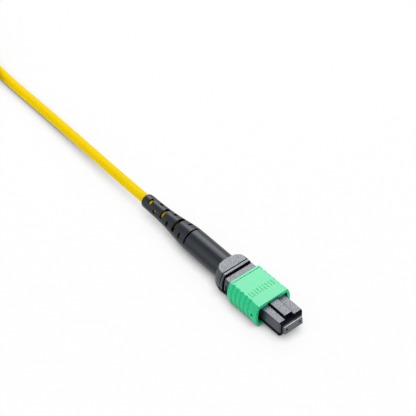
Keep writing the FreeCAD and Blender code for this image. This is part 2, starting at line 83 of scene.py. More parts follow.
# %% Camera
# Angles in degrees from straight ahead and from level; the distances are millimetres
azimuth = math.radians(50.12)
elevation = math.radians(43.69)
lens = 123.33
step_back = 378
moved_right = -22.70
moved_up = 31.16
toward_camera = Vector((math.sin(azimuth) * math.cos(elevation),
                        -math.cos(azimuth) * math.cos(elevation), math.sin(elevation)))
to_the_right = Vector((math.cos(azimuth), math.sin(azimuth), 0))
upward = toward_camera.cross(to_the_right)
camera = bpy.data.objects.new("camera", bpy.data.cameras.new("camera"))
camera.data.lens = lens
camera.data.clip_start = 10 * mm
camera.location = (toward_camera * step_back + to_the_right * moved_right + upward * moved_up) * mm
camera.rotation_euler = toward_camera.to_track_quat("Z", "Y").to_euler()
bpy.context.scene.collection.objects.link(camera)
bpy.context.scene.camera = camera
print("camera at", [round(v / mm, 1) for v in camera.location])

# %% [markdown]
# ## The cable
# A pigtail is one metre of round cable, and its far end is bare because it is spliced on site.
# It could be a solid tube swept along a path, but a curve with a round bevel stays easy to move.
# One NURBS curve carries all of it. A quadratic one touches the middle of each side of the polygon that
# its control points make, so points on a many-sided polygon round a circle give a fold of the circle's size.

# %% Points of the cable from the plug to the coil
cable_diameter = 3.0
cable_rest_z = table_z / mm + cable_diameter / 2
# Straight out of the boot, down to the surface, and on towards the coil
route = [(-34.3, 0, 0), (-45.6, 0, 0), (-73, 0, 0),
         (-114, 2.1, cable_rest_z), (-143, 1.95, cable_rest_z)]
print("the cable lies on the surface with its axis at", round(cable_rest_z, 2), "mm")

# %% [markdown]
# The rest of the metre is wound into a long, slim coil in line with the plug: two straight runs and two
# half-round folds, two lanes wide. It could be a flat spiral, but a folded coil is how a pigtail is packed.
# A turn changes its lane or its layer only along a straight run, in one half of it, and never where a
# neighbour does, so that no two turns ever share a place.

# %% Sizes of the coil
fold_radius = 9.0
turn_step = 3.05
run_length = 45.0
coil_front_x = -152.9
coil_entry_y = 4.2
# The coil lies on its straps, which lift it off the surface by their thickness
coil_lift = 0.4
coil_middle_y = coil_entry_y - fold_radius - turn_step
coil_low_z = cable_rest_z + coil_lift
# As many control points as make the whole cable one metre long
coil_point_count = 135
points_per_fold = 8
# Two control points in each half of a run, as shares of its length
places_on_run = (0.1, 0.4, 0.6, 0.9)
# (turn, run, half of the run) where the cable climbs a layer or changes its lane
climbs = {(1, 1, 0), (3, 0, 0), (4, 1, 0)}
inward = {(0, 1, 1), (3, 1, 1)}
outward = {(2, 0, 1), (5, 0, 1)}
print("coil of", run_length, "mm runs and folds of", fold_radius, "mm radius")

# %% Points of the coil
def coil_points(count):
    """Control points of the coil: for each turn a run away from the plug, a fold, a run back and a fold."""
    lane, layer = 1, 0
    points = []
    turn = 0
    while len(points) < count:
        for run in (0, 1):
            side = 1 - 2 * run
            start_x = coil_front_x - run * run_length
            for number, share in enumerate(places_on_run):
                half = (turn, run, number // 2)
                if number % 2:
                    layer += half in climbs
                    lane += (half in outward) - (half in inward)
                radius = fold_radius + lane * turn_step
                points.append((start_x - side * share * run_length, coil_middle_y + side * radius,
                               coil_low_z + layer * turn_step))
            centre_x = start_x - side * run_length
            reach = radius / math.cos(math.pi / points_per_fold / 2)
            for number in range(points_per_fold):
                angle = math.pi * (0.5 + run + (number + 0.5) / points_per_fold)
                points.append((centre_x + reach * math.cos(angle), coil_middle_y + reach * math.sin(angle),
                               coil_low_z + layer * turn_step))
        turn += 1
    return points[:count]


cable_points = route + coil_points(coil_point_count)
print(len(cable_points), "control points for the cable")


# %% The cable as one NURBS curve
def cable_curve(name, points, bevel):
    """A round cable through its control points; a bevel of 0 leaves the bare curve."""
    curve = bpy.data.curves.new(name, "CURVE")
    curve.dimensions = "3D"
    curve.bevel_depth = bevel
    curve.bevel_resolution = 8
    curve.use_fill_caps = True
    curve.resolution_u = 6
    spline = curve.splines.new("NURBS")
    spline.points.add(len(points) - 1)
    for point, place in zip(spline.points, points):
        point.co = (*(v * mm for v in place), 1)
    spline.order_u = 3
    spline.use_endpoint_u = True
    piece = bpy.data.objects.new(name, curve)
    bpy.context.scene.collection.objects.link(piece)
    return piece


def centreline_of(name, points):
    """The points that the curve really follows, read from the same curve without its thickness."""
    bare = cable_curve(name, points, 0)
    line = [v.co.copy() for v in bpy.data.meshes.new_from_object(bare).vertices]
    bpy.data.objects.remove(bare)
    return line


cable = cable_curve("pigtail_cable", cable_points, cable_diameter / 2 * mm)
centreline = centreline_of("centreline", cable_points)
cable_length = sum((b - a).length for a, b in zip(centreline, centreline[1:]))
print("cable is", round(cable_length, 4), "m long")

# %% [markdown]
# ## Straps round the coil
# Two woven straps hold the coil, one round each straight run. A plain ring would hang loose round the turns,
# while a real strap is pulled tight. So a strap's outline is the convex hull of the circles that the cable
# makes where the strap crosses it, and the strap is a closed wall between two such outlines.

# %% Sizes of a strap
strap_thickness = 0.38
strap_width = 8.0
strap_clearance = 0.02
strap_pinch = 0.12
# Rings of points across the strap's width, in shares of half of it, closer together at the edges
strap_rings = (-1, -0.94, -0.5, 0, 0.5, 0.94, 1)
hull_steps = 24
strap_x = coil_front_x - run_length / 2
print("straps round the runs at x", strap_x, "mm")


# %% Where a strap crosses the cable
def cable_through(x, side):
    """Centres, across and up, of the cable's turns where they pass one place of one run."""
    found = []
    for a, b in zip(centreline, centreline[1:]):
        before, after = a.x - x * mm, b.x - x * mm
        if before * after <= 0 and before != after:
            place = a.lerp(b, before / (before - after))
            if (place.y - coil_middle_y * mm) * side > 0:
                found.append(place.yz)
    return found


def hull_round(centres, radius):
    """Convex outline round circles of one radius, as points in order."""
    dots = []
    for middle in centres:
        for i in range(hull_steps):
            turn = i * math.tau / hull_steps
            dots.append(middle + Vector((math.cos(turn), math.sin(turn))) * radius)
    return [dots[i] for i in geometry.convex_hull_2d(dots)]


# %% From a bmesh to an object
def finished(name, mesh, smooth=True):
    """Turns a bmesh into an object at the origin."""
    data = bpy.data.meshes.new(name)
    mesh.to_mesh(data)
    mesh.free()
    for face in data.polygons:
        face.use_smooth = smooth
    piece = bpy.data.objects.new(name, data)
    bpy.context.scene.collection.objects.link(piece)
    return piece


# %% The straps
def strap(name, side):
    """A closed band of woven strap, a little pulled in at its two edges."""
    half = strap_width / 2
    centres = [c for x in (-half, 0, half) for c in cable_through(strap_x + x, side)]
    inner = hull_round(centres, (cable_diameter / 2 + strap_clearance) * mm)
    outer = hull_round(centres, (cable_diameter / 2 + strap_thickness) * mm)
    mesh = bmesh.new()
    rings = []
    for share in strap_rings:
        pinch = strap_pinch * mm if abs(share) == 1 else 0
        loops = []
        for outline, towards in ((inner, pinch / 2), (outer, -pinch)):
            ring = []
            for i, dot in enumerate(outline):
                edge = (outline[(i + 1) % len(outline)] - outline[i - 1]).normalized()
                place = dot + Vector((edge.y, -edge.x)) * towards
                ring.append(mesh.verts.new(((strap_x + share * half) * mm, place.x, place.y)))
            loops.append(ring)
        rings.append(loops)
    for near, far in zip(rings, rings[1:]):
        for loop in (0, 1):
            for i in range(len(near[loop])):
                j = (i + 1) % len(near[loop])
                mesh.faces.new((near[loop][i], near[loop][j], far[loop][j], far[loop][i]))
    for end in (rings[0], rings[-1]):
        edges = [mesh.edges.get((loop[i - 1], loop[i])) for loop in end for i in range(len(loop))]
        bmesh.ops.bridge_loops(mesh, edges=edges)
    bmesh.ops.recalc_face_normals(mesh, faces=mesh.faces)
    return finished(name, mesh)


straps = {"coil_tie_near": strap("coil_strap_near", -1), "coil_tie_far": strap("coil_strap_far", 1)}
for piece in straps.values():
    print(piece.name, len(piece.data.vertices), "points")

# %% [markdown]
# ## Finishes written as expressions
# Every material below is a small tree of shader nodes. Node by node, simple maths takes many lines, so one
# class wraps a socket and lets Python's operators add the Math nodes: 1 - mask is then a node too.
# A second class holds the tree of one finish, and has a method for each thing that several finishes need.

# %% Shader maths on Python's own operators
class Wire:
    """A socket of a finish's node tree. Python's operators on it add Math nodes."""

    def __init__(self, finish, socket):
        self.finish = finish
        self.socket = socket

    def maths(self, operation, *values):
        return self.finish.node("ShaderNodeMath", {"operation": operation}, dict(enumerate(values)))

    def __add__(self, other):
        return self.maths("ADD", self, other)

    def __radd__(self, other):
        return self.maths("ADD", other, self)

    def __sub__(self, other):
        return self.maths("SUBTRACT", self, other)

    def __rsub__(self, other):
        return self.maths("SUBTRACT", other, self)

    def __mul__(self, other):
        return self.maths("MULTIPLY", self, other)

    def __rmul__(self, other):
        return self.maths("MULTIPLY", other, self)

    def __gt__(self, other):
        return self.maths("GREATER_THAN", self, other)

    def __lt__(self, other):
        return self.maths("LESS_THAN", self, other)

    def __abs__(self):
        return self.maths("ABSOLUTE", self)


# %% The tree of one finish
class Finish:
    """A material that is built node by node."""

    def __init__(self, name):
        self.material = bpy.data.materials.new(name)
        self.material.use_nodes = True
        self.tree = self.material.node_tree
        self.tree.nodes.clear()

    def node(self, kind, settings=None, sockets=None, output=0):
        """Adds a node, makes its settings, and then fills or links its sockets."""
        made = self.tree.nodes.new(kind)
        for key, value in (settings or {}).items():
            if key == "stops":
                ramp = made.color_ramp
                while len(ramp.elements) < len(value):
                    ramp.elements.new(0.5)
                for element, (place, colour) in zip(ramp.elements, value):
                    element.position = place
                    element.color = colour
            else:
                setattr(made, key, value)
        for key, value in (sockets or {}).items():
            if isinstance(value, Wire):
                self.tree.links.new(value.socket, made.inputs[key])
            else:
                made.inputs[key].default_value = value
        return Wire(self, made.outputs[output]) if made.outputs else made

    def place(self):
        return self.node("ShaderNodeTexCoord", output="Object")

    def facing(self):
        return self.node("ShaderNodeTexCoord", output="Normal")

    def axes(self, vector):
        """The X, Y and Z of a vector, as three wires."""
        parts = self.node("ShaderNodeSeparateXYZ", {}, {0: vector})
        return [Wire(self, output) for output in parts.socket.node.outputs]

    def noise(self, size, detail=3.0):
        """Noise whose features are about size millimetres across."""
        sockets = {"Vector": self.place(), "Scale": 1 / (size * mm), "Detail": detail}
        return self.node("ShaderNodeTexNoise", {"noise_dimensions": "3D"}, sockets)

    def ramp(self, stops, value):
        """Greys between stops, each a place and a tone."""
        greys = [(place, (tone, tone, tone, 1)) for place, tone in stops]
        return self.node("ShaderNodeValToRGB", {"stops": greys}, {"Fac": value})

    def mix(self, factor, first, second, blend="MIX"):
        """Mixes two colours."""
        return self.node("ShaderNodeMix", {"data_type": "RGBA", "blend_type": blend},
                         {0: factor, 6: first, 7: second}, output=2)

    def bump(self, height, depth):
        """Turns a height from 0 to 1 into a normal, for a depth in millimetres."""
        return self.node("ShaderNodeBump", {}, {"Height": height, "Distance": depth * mm, "Strength": 1.0})

    def surface(self, **sockets):
        """Ends the tree in one Principled shader; constants are set on its own sockets."""
        named = {key.replace("_", " "): value for key, value in sockets.items()}
        shader = self.node("ShaderNodeBsdfPrincipled", {}, named)
        self.node("ShaderNodeOutputMaterial", {}, {"Surface": shader})
        return self.material


# %% [markdown]
# ## Floor
# The plug lies on plain near-white paper that shows a soft shadow. White paper alone would either glare on
# the plug or turn grey in the picture. So rays from the camera, from gloss and through glass see the floor
# lifted towards white, while the light that it throws back on the plug stays as plain paper's.
# Ambient occlusion darkens the lifted tone: sharply where the plug almost touches, and faintly further out.

# %% Floor
# How far each shade reaches, in millimetres, and its tones from touching to open
contact_shade = (3.4, ((0.0, 0.05), (0.25, 0.22), (0.50, 0.64), (0.78, 0.93), (0.95, 1.0)))
wide_shade = (14.0, ((0.0, 0.84), (0.50, 0.955), (0.75, 0.985), (0.95, 1.0)))
paper_tone = 0.86
lifted_share = 0.95
floor_reach = 3.0
floor_gap = 0.02


def floor_paper():
    finish = Finish("floor_paper")
    path = "ShaderNodeLightPath"
    seen = finish.node("ShaderNodeMath", {"operation": "ADD", "use_clamp": True},
                       {0: finish.node(path, output="Is Camera Ray"),
                        1: finish.node(path, output="Is Glossy Ray")
                        + finish.node(path, output="Is Transmission Ray")})
    shades = []
    for reach, stops in (contact_shade, wide_shade):
        nearness = finish.node("ShaderNodeAmbientOcclusion", {"samples": 8},
                               {"Color": (1, 1, 1, 1), "Distance": reach * mm}, output="AO")
        shades.append(finish.ramp(stops, nearness))
    tone = finish.mix(1.0, *shades, blend="MULTIPLY")
    paper = finish.node("ShaderNodeBsdfDiffuse", {}, {"Color": (paper_tone, paper_tone, paper_tone, 1)})
    glow = finish.node("ShaderNodeEmission", {}, {"Color": tone, "Strength": 1.0})
    mixed = finish.node("ShaderNodeMixShader", {}, {0: seen * lifted_share, 1: paper, 2: glow})
    finish.node("ShaderNodeOutputMaterial", {}, {"Surface": mixed})
    return finish.material


floor_mesh = bmesh.new()
bmesh.ops.create_grid(floor_mesh, x_segments=1, y_segments=1, size=floor_reach)
bmesh.ops.translate(floor_mesh, verts=floor_mesh.verts, vec=(0, 0, table_z - floor_gap * mm))
floor = finished("floor", floor_mesh, smooth=False)
floor.data.materials.append(floor_paper())
print("floor at z", round(table_z / mm - floor_gap, 2), "mm")

# %% [markdown]
# ## Sky and lamps
# Products like this are lit by large, soft lamps, so that no highlight has a hard edge. A picture of a studio
# round the scene could give the same light, but three square lamps are easier to place one by one.
# The sky gives an even grey fill, and camera, gloss and glass see it as white.

# %% Sky
sky_strength = 0.36


def studio_world():
    """An even grey sky that the camera, gloss and glass see as white."""
    world = bpy.data.worlds.new("studio")
    world.use_nodes = True
    tree = world.node_tree
    tree.nodes.clear()
    path = tree.nodes.new("ShaderNodeLightPath")
    seen = path.outputs["Is Camera Ray"]
    for name in ("Is Glossy Ray", "Is Transmission Ray"):
        either = tree.nodes.new("ShaderNodeMath")
        either.operation = "MAXIMUM"
        tree.links.new(seen, either.inputs[0])
        tree.links.new(path.outputs[name], either.inputs[1])
        seen = either.outputs[0]
    mixed = tree.nodes.new("ShaderNodeMixShader")
    tree.links.new(seen, mixed.inputs[0])
    for strength, socket in ((sky_strength, 1), (1.0, 2)):
        background = tree.nodes.new("ShaderNodeBackground")
        background.inputs["Color"].default_value = (1, 1, 1, 1)
        background.inputs["Strength"].default_value = strength
        tree.links.new(background.outputs[0], mixed.inputs[socket])
    tree.links.new(mixed.outputs[0], tree.nodes.new("ShaderNodeOutputWorld").inputs["Surface"])
    return world


bpy.context.scene.world = studio_world()
bpy.context.scene.view_settings.view_transform = "Standard"
print("sky strength", sky_strength)

# %% Lamps
lit_place = Vector((-0.03, 0, 0))


def softbox(name, place, size, power):
    """A square lamp that faces the plug; place and size are metres, power is watts."""
    lamp = bpy.data.lights.new(name, "AREA")
    lamp.shape = "SQUARE"
    lamp.size = size
    lamp.energy = power
    piece = bpy.data.objects.new(name, lamp)
    piece.location = place
    piece.rotation_euler = (Vector(place) - lit_place).to_track_quat("Z", "Y").to_euler()
    bpy.context.scene.collection.objects.link(piece)
    print(name, power, "W")


softbox("back_softbox", (-0.474, 0.371, 0.553), 0.46, 4.3)
softbox("side_softbox", (-0.25, -0.75, 0.36), 0.80, 3.1)
softbox("front_softbox", (0.70, 0.10, 0.35), 0.40, 2.0)

# %% [markdown]
# ## Black moulded plastic
# Housing and rear body are black polymer from a mould whose flat faces were spark-eroded to a speckled grain.
# The grey of their tops is painted sheen over that grain, while the curved flanks are smooth and darker, with
# painted light on their upper part and painted shade below. One texture could be painted for this, but a mask
# is exact: it is the faces that look up or down, less painted shade lines across the collar and along the key.
# The real sheen is a coat, because its weight may follow the mask while its level stays one number.

# %% Where the black plastic has grain, painted sheen, painted light and painted shade
# A face is flat when its normal leans this far along an axis
flat_face = 0.9
flank_face = 0.5
# Heights in millimetres: grain and painted sheen start at the first, and painted light on the flanks reaches down
# to the second, with painted shade below it
grain_and_sheen_above = 2.3
flank_light_above = -1.1
# Painted shade lines, where the sheen is left out: two across the collar, given ahead of the head's front face,
# each by its middle and its half width, and one along the key's edge, given by where it starts upwards, sideways
# and forwards
head_length = 3.6
collar_shade_lines = ((0.10, 0.20), (1.24, 0.38))
key_shade_line = (2.9, 1.24, -11)
head_front_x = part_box("spring_push")[0].x + head_length * mm
print("the head's front face is at x", round(head_front_x / mm, 2), "mm")


# %% Black plastic
def black_plastic():
    finish = Finish("black_plastic")
    along, aside, height = finish.axes(finish.place())
    turned_aside, turned_up = finish.axes(finish.facing())[1:]
    raised = abs(height) > grain_and_sheen_above * mm
    # Faces that look up or down get a grain and a painted sheen, a grey lit tone
    grain_and_sheen = (abs(turned_up) > flat_face) * raised
    # Painted shade lines: no painted sheen across the collar's recesses, nor along the key's edge
    near_shade_line, far_shade_line = [abs(along - (head_front_x + middle * mm)) < half * mm
                           for middle, half in collar_shade_lines]
    edge_up, edge_aside, edge_front = key_shade_line
    edge = (height > edge_up * mm) * (aside > edge_aside * mm) * (along > edge_front * mm)
    grain_and_sheen = grain_and_sheen * (1 - (near_shade_line + far_shade_line)) * (1 - edge)
    # Painted light on the flanks above a height, painted shade below it
    painted_flank_light = (abs(turned_aside) > flank_face) * (height > flank_light_above * mm)
    speckle = finish.ramp(((0.38, 0.0), (0.62, 1.0)), finish.noise(0.42, 2.5))
    # The speckled grey is grain under painted sheen; the smooth tones are dark, and lighter where painted light
    # falls on the flanks
    grey = finish.mix(speckle, (0.042, 0.049, 0.064, 1), (0.192, 0.209, 0.252, 1))
    smooth = finish.mix(painted_flank_light, (0.003, 0.0045, 0.0075, 1), (0.010, 0.020, 0.030, 1))
    return finish.surface(Base_Color=finish.mix(grain_and_sheen, smooth, grey),
                          Roughness=0.66 - raised * 0.30 + grain_and_sheen * 0.06,
                          Normal=finish.bump(finish.noise(0.2, 2.0) * grain_and_sheen, 0.015),
                          Specular_IOR_Level=0.06, Specular_Tint=(0.86, 0.94, 1.0, 1),
                          Coat_Weight=grain_and_sheen + painted_flank_light, Coat_Roughness=0.38)


# %% [markdown]
# ## Green plastic
# The sleeve's green says that the end face is slanted. It is a fine-grained, slightly glossy moulding.
# A plain colour would look like paint, so a slow cloud moves its tone a little, and the flat top gets
# a coat that carries the sheen of the lamp behind.

# %% Green plastic
def green_plastic():
    finish = Finish("green_plastic")
    cloud = finish.noise(3.0, 2.0)
    turned_up = finish.axes(finish.facing())[2]
    return finish.surface(Base_Color=finish.mix(cloud, (0.014, 0.585, 0.252, 1), (0.024, 0.625, 0.282, 1)),
                          Roughness=0.40 + cloud * 0.06, Normal=finish.bump(finish.noise(0.15, 2.0), 0.003),
                          Specular_IOR_Level=0.22, Coat_Weight=(abs(turned_up) > flat_face) * 0.72,
                          Coat_Roughness=0.38)


# %% [markdown]
# ## Rubber
# A boot is black rubber, satin and almost without grain. A gloss would look like lacquer and a matt black
# would hide the form, which shows only in the highlight, so a middling roughness keeps the highlight wide.

# %% Soft rubber
def soft_rubber():
    finish = Finish("soft_rubber")
    cloud = finish.noise(2.0, 3.0)
    return finish.surface(Base_Color=finish.mix(cloud, (0.0015, 0.0025, 0.005, 1), (0.003, 0.005, 0.009, 1)),
                          Roughness=0.32 + cloud * 0.05, Normal=finish.bump(finish.noise(0.2, 3.0), 0.0015),
                          Specular_IOR_Level=0.32, Specular_Tint=(0.84, 0.93, 1.0, 1))


# %% [markdown]
# ## Cable jacket
# A jacket is extruded, so it is smooth, with only slow waves along its length. It could be made glossy, as
# the material is, but saturated yellow washes out under a strong highlight. So it gets very little gloss,
# and its colour carries it.

# %% Yellow jacket
def yellow_jacket():
    finish = Finish("yellow_jacket")
    cloud = finish.noise(6.0, 2.0)
    return finish.surface(Base_Color=finish.mix(cloud, (0.86, 0.61, 0.0, 1), (0.90, 0.65, 0.001, 1)),
                          Roughness=0.40 + cloud * 0.06, Normal=finish.bump(finish.noise(2.5, 2.0), 0.001),
                          Specular_IOR_Level=0.03)


# %% [markdown]
# ## Ferrule moulding
# A ferrule is glass-filled polymer, finely speckled and polished on its end face. Two things on it could
# be pieces of their own, but are masks on height and place: a painted highlight along the upper edge,
# and painted shade inside the two guide holes.

# %% Ferrule plastic
# Millimetres: the painted highlight on the upper edge starts at this height and this far behind the end face
painted_highlight_edge = (1.1, -0.26)
# The guide holes' distance from the middle, the reach of their painted shade, and how far in it starts
guide_hole_shade = (2.3, 0.36, -0.06)


def ferrule_plastic():
    finish = Finish("ferrule_plastic")
    speckle = finish.noise(0.08, 2.0)
    along, aside, height = finish.axes(finish.place())
    edge_up, edge_back = painted_highlight_edge
    # Painted highlight along the upper front edge
    edge = (height > edge_up * mm) * (along > edge_back * mm)
    hole_aside, hole_reach, hole_front = guide_hole_shade
    # Painted shade inside the guide holes
    across = abs(abs(aside) - hole_aside * mm) < hole_reach * mm
    painted_hole_shade = across * (abs(height) < hole_reach * mm) * (along < hole_front * mm)
    base = finish.mix(speckle, (0.072, 0.077, 0.088, 1), (0.126, 0.132, 0.150, 1))
    base = finish.mix(edge, base, (0.80, 0.82, 0.84, 1))
    return finish.surface(Base_Color=finish.mix(painted_hole_shade, base, (0.003, 0.003, 0.004, 1)),
                          Roughness=0.30 + speckle * 0.1, Normal=finish.bump(speckle, 0.003),
                          Specular_IOR_Level=0.35)


# %% [markdown]
# ## Metals
# The springs are drawn steel wire, and the crimp ring is nickel-plated brass. Both are bare metal whose
# tone and roughness drift a little. They could be two trees, but one function makes both from a colour.

# %% Metals
def bare_metal(name, colour, roughness):
    finish = Finish(name)
    cloud = finish.noise(0.6, 3.0)
    darker = tuple(c * 0.85 for c in colour) + (1,)
    base = finish.mix(cloud, darker, (*colour, 1))
    return finish.surface(Base_Color=base, Metallic=1.0, Roughness=roughness + cloud * 0.12)


# %% [markdown]
# ## Yarn, glass, coating and strap
# Aramid yarn, bare glass fibre, the ribbon's coating and the straps' cloth are mostly out of sight. Each
# could have a weave or threads of its own, but at their size they differ only in colour, gloss and the size
# of their grain, so one plain finish with those as its values serves all four.

# %% Grained finishes
def plain_grained(name, first, second, roughness, size, depth):
    """Two tones mixed by a grain, with the grain's size and depth in millimetres."""
    finish = Finish(name)
    grain = finish.noise(size, 3.0)
    base = finish.mix(grain, (*first, 1), (*second, 1))
    return finish.surface(Base_Color=base, Roughness=roughness, Normal=finish.bump(grain, depth))


# %% [markdown]
# ## Finishes for the CAD nodes
# The record names one material slot for each CAD node. Each node could be given its material by hand, but a
# dictionary from slot to finish dresses them all in one loop and never forgets one. The pieces that are
# made below take their finishes from the same dictionary.

# %% All finishes by slot
finishes = {
    "ferrule_plastic": ferrule_plastic(),
    "black_plastic": black_plastic(),
    "green_plastic": green_plastic(),
    "soft_rubber": soft_rubber(),
    "spring_steel": bare_metal("spring_steel", (0.62, 0.61, 0.58), 0.25),
    "crimp_metal": bare_metal("crimp_metal", (0.72, 0.70, 0.66), 0.30),
    "aramid": plain_grained("aramid", (0.72, 0.52, 0.16), (0.85, 0.66, 0.25), 0.6, 0.3, 0.02),
    "yellow_jacket": yellow_jacket(),
    "bare_fibre": plain_grained("bare_fibre", (0.22, 0.25, 0.30), (0.35, 0.4, 0.45), 0.15, 0.1, 0.001),
    "ribbon_coating": plain_grained("ribbon_coating", (0.55, 0.6, 0.7), (0.7, 0.75, 0.8), 0.3, 0.4, 0.003),
    "tie_fabric": plain_grained("tie_fabric", (0.02, 0.021, 0.024), (0.05, 0.052, 0.058), 0.85, 0.35, 0.06),
}
print(len(finishes), "finishes:", ", ".join(finishes))


# %% Dressing a piece
def dress(piece, slot, body=None, stands_for=()):
    """Gives a piece its finish and, for a new piece, its body and the CAD nodes that it stands for."""
    piece.data.materials.clear()
    piece.data.materials.append(finishes[slot])
    if body:
        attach(piece, body)
    if stands_for:
        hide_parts(*stands_for)
    return piece


for subpart in frame["record"]["subparts"]:
    dress(nodes[subpart["node"]], subpart["material_slot"])

# %% [markdown]
# ## The moulded parts with softened edges
# Housing, sleeve, rear body and ferrule are mouldings, and a mould never gives a knife edge. They could be
# modelled again, but the drawing is exact. So each starts as a copy of its CAD node: the copy's loose
# triangles are merged, its flat areas joined into single faces, and a Bevel modifier rounds what is left.
# A Weighted Normal modifier lets the large faces rule, so that they stay flat and only edges catch the light.

# %% A softened copy of a CAD node
# Corners closer than this are one, faces that turn less than this are one, and more than this is an edge
same_point = 0.0005
same_plane = math.radians(0.5)
real_edge = math.radians(28)


def softened(name, node, radius):
    """A merged copy of a CAD node whose edges are rounded by a radius in millimetres."""
    mesh = bmesh.new()
    mesh.from_mesh(nodes[node].data)
    bmesh.ops.remove_doubles(mesh, verts=mesh.verts, dist=same_point * mm)
    bmesh.ops.dissolve_limit(mesh, angle_limit=same_plane, verts=mesh.verts, edges=mesh.edges)
    piece = finished(name, mesh)
    bevel = piece.modifiers.new("edge", "BEVEL")
    bevel.width = radius * mm
    bevel.segments = 2
    bevel.limit_method = "ANGLE"
    bevel.angle_limit = real_edge
    bevel.use_clamp_overlap = True
    evened = piece.modifiers.new("even", "WEIGHTED_NORMAL")
    evened.weight = 100
    evened.keep_sharp = True
    print(name, len(piece.data.vertices), "points")
    return piece


# %% Housing, sleeve, rear body and ferrule
dress(softened("housing", "inner_housing", 0.07), "black_plastic", "plug", ["inner_housing"])
dress(softened("sleeve", "coupling_sleeve", 0.08), "green_plastic", "sleeve", ["coupling_sleeve"])
dress(softened("rear_body", "spring_push", 0.08), "black_plastic", "plug", ["spring_push"])
dress(softened("ferrule_block", "ferrule", 0.04), "ferrule_plastic", "ferrule", ["ferrule"])

# %% [markdown]
# ## Geometry Nodes trees
# What repeats is made by Geometry Nodes. Loops in Python could place the same points, but a tree states the
# rule once and can be changed by its inputs. A tree is written here in Python, its sizes are named inputs,
# and the result is turned into a plain mesh, so that the finished piece needs no modifier.

# %% A tree, its inputs and its nodes
class Tree:
    """A Geometry Nodes tree that is written in Python and then run once."""

    def __init__(self, name, **inputs):
        self.group = bpy.data.node_groups.new(name, "GeometryNodeTree")
        self.inputs = inputs
        self.group.interface.new_socket("Geometry", in_out="INPUT", socket_type="NodeSocketGeometry")
        self.group.interface.new_socket("Geometry", in_out="OUTPUT", socket_type="NodeSocketGeometry")
        self.sockets = {}
        for key, value in inputs.items():
            kind = "NodeSocketInt" if isinstance(value, int) else "NodeSocketFloat"
            self.sockets[key] = self.group.interface.new_socket(key, in_out="INPUT", socket_type=kind)
        self.given = self.group.nodes.new("NodeGroupInput")

    def value(self, key):
        return self.given.outputs[key]

    def node(self, kind, settings=None, sockets=None, output=0):
        made = self.group.nodes.new(kind)
        for key, value in (settings or {}).items():
            setattr(made, key, value)
        for key, value in (sockets or {}).items():
            if isinstance(value, bpy.types.NodeSocket):
                self.group.links.new(value, made.inputs[key])
            else:
                made.inputs[key].default_value = value
        return made.outputs[output] if made.outputs else made

    def maths(self, operation, first, second):
        return self.node("ShaderNodeMath", {"operation": operation}, {0: first, 1: second})

    def vector(self, x=0.0, y=0.0, z=0.0):
        return self.node("ShaderNodeCombineXYZ", {}, {"X": x, "Y": y, "Z": z})

    def run(self, name, geometry_out, finish, start=None):
        """Runs the tree on a start mesh, and gives the result as a plain mesh object."""
        real = self.node("GeometryNodeRealizeInstances", {}, {"Geometry": geometry_out})
        done = self.node("GeometryNodeSetMaterial", {}, {"Geometry": real, "Material": finish})
        self.node("NodeGroupOutput", {}, {"Geometry": done})
        base = start or finished(name + "_start", bmesh.new())
        modifier = base.modifiers.new("made", "NODES")
        modifier.node_group = self.group
        for key, value in self.inputs.items():
            modifier[self.sockets[key].identifier] = value
        graph = bpy.context.evaluated_depsgraph_get()
        data = bpy.data.meshes.new_from_object(base.evaluated_get(graph))
        bpy.data.objects.remove(base)
        piece = bpy.data.objects.new(name, data)
        piece.data.name = name
        bpy.context.scene.collection.objects.link(piece)
        print(name, len(data.polygons), "faces")
        return piece


# %% [markdown]
# ## The boot
# The strain relief boot is a turned rubber sleeve: straight over the crimp, then a long taper that ends in a
# slim tail. Windows let the tail bend with the cable: two wide ones face each other at one place, and four small
# ones lie between them at the next. The profile is spun round the cable's axis, which keeps it truly round,
# and Geometry Nodes cut the windows, whose places and widths follow a rule.

# %% Spinning a closed profile round the X axis
def spun(name, profile, steps):
    """A closed mesh from (x, radius) corners in millimetres, spun round the X axis."""
    mesh = bmesh.new()
    rings = []
    for i in range(steps):
        turn = i * math.tau / steps
        rings.append([mesh.verts.new((x * mm, r * math.cos(turn) * mm, r * math.sin(turn) * mm))
                      for x, r in profile])
    for i in range(steps):
        near, far = rings[i - 1], rings[i]
        for j in range(len(profile)):
            mesh.faces.new((near[j - 1], near[j], far[j], far[j - 1]))
    bmesh.ops.recalc_face_normals(mesh, faces=mesh.faces)
    return finished(name, mesh)


# %% Boot profile
boot_rear_x, boot_front_x = [corner.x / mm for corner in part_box("strain_relief_boot")]
# Distance behind the boot's front face, and radius
boot_outer = [(0, 3.65), (8, 3.65), (15.9, 3.63), (17.2, 3.57), (18.7, 3.46), (20.4, 3.27), (22.5, 2.99),
              (24.6, 2.73), (26.5, 2.55), (28.5, 2.40), (30.5, 2.29), (32.5, 2.23), (35, 2.2), (36.55, 2.19),
              (37.05, 2.13), (37.4, 2.0)]
boot_inner = [(37.55, 1.85), (37.55, 1.6), (14.32, 1.6), (14.32, 1.96), (8.92, 1.96), (8.92, 2.81), (0, 2.81)]
boot_steps = 96
boot_start = spun("boot_start", [(boot_front_x - x, r) for x, r in boot_outer + boot_inner], boot_steps)
print("boot from", round(boot_front_x, 2), "to", round(boot_front_x - boot_inner[0][0], 2), "mm")

